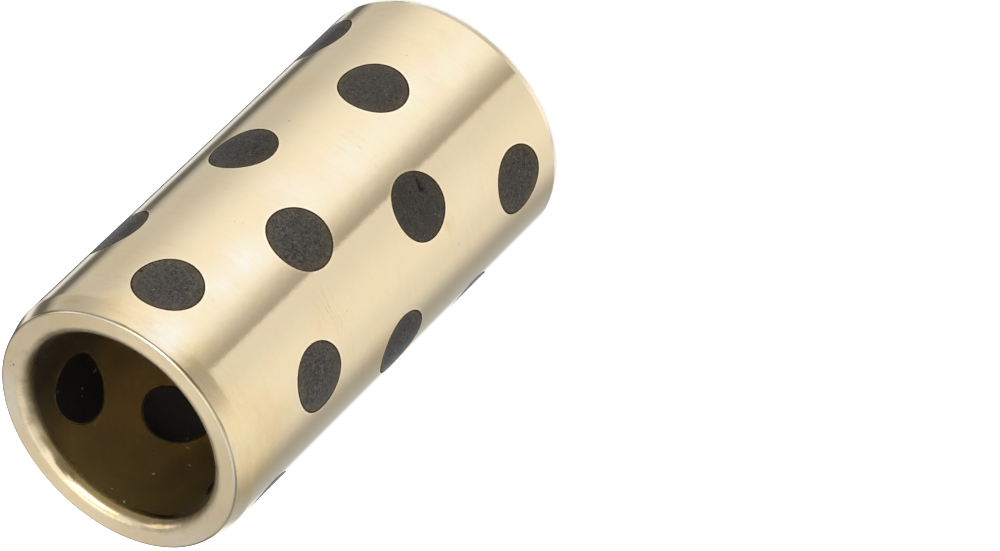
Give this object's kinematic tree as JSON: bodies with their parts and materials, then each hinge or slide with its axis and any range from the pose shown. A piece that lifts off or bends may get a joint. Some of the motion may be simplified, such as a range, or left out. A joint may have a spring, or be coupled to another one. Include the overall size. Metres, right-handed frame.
{
  "type": "graphite plugged bushing",
  "caption": "Plain cylindrical bronze bearing sleeve with rings of flush graphite plugs through its wall, a lead-in taper and a rounded bore mouth.",
  "frame": {"origin": "centre of the bore in the plane of the plain (chamfered) end face, on which the bushing stands", "axes": "+Z along the bore axis from the plain end up to the lead-in end; +X through the middle of plug a of ring 1, the lowest ring"},
  "size_m": [0.04, 0.04, 0.08],
  "materials": {
    "bronze": "polished",
    "graphite": "matte"
  },
  "bodies": {
    "root": {"bushing_body": "bronze", "graphite_plug_ring1_a": "graphite", "graphite_plug_ring1_b": "graphite", "graphite_plug_ring1_c": "graphite", "graphite_plug_ring2_a": "graphite", "graphite_plug_ring2_b": "graphite", "graphite_plug_ring2_c": "graphite", "graphite_plug_ring3_a": "graphite", "graphite_plug_ring3_b": "graphite", "graphite_plug_ring3_c": "graphite", "graphite_plug_ring4_a": "graphite", "graphite_plug_ring4_b": "graphite", "graphite_plug_ring4_c": "graphite", "graphite_plug_ring5_a": "graphite", "graphite_plug_ring5_b": "graphite", "graphite_plug_ring5_c": "graphite", "graphite_plug_ring6_a": "graphite", "graphite_plug_ring6_b": "graphite", "graphite_plug_ring6_c": "graphite", "graphite_plug_ring7_a": "graphite", "graphite_plug_ring7_b": "graphite", "graphite_plug_ring7_c": "graphite"}
  },
  "joints": []
}
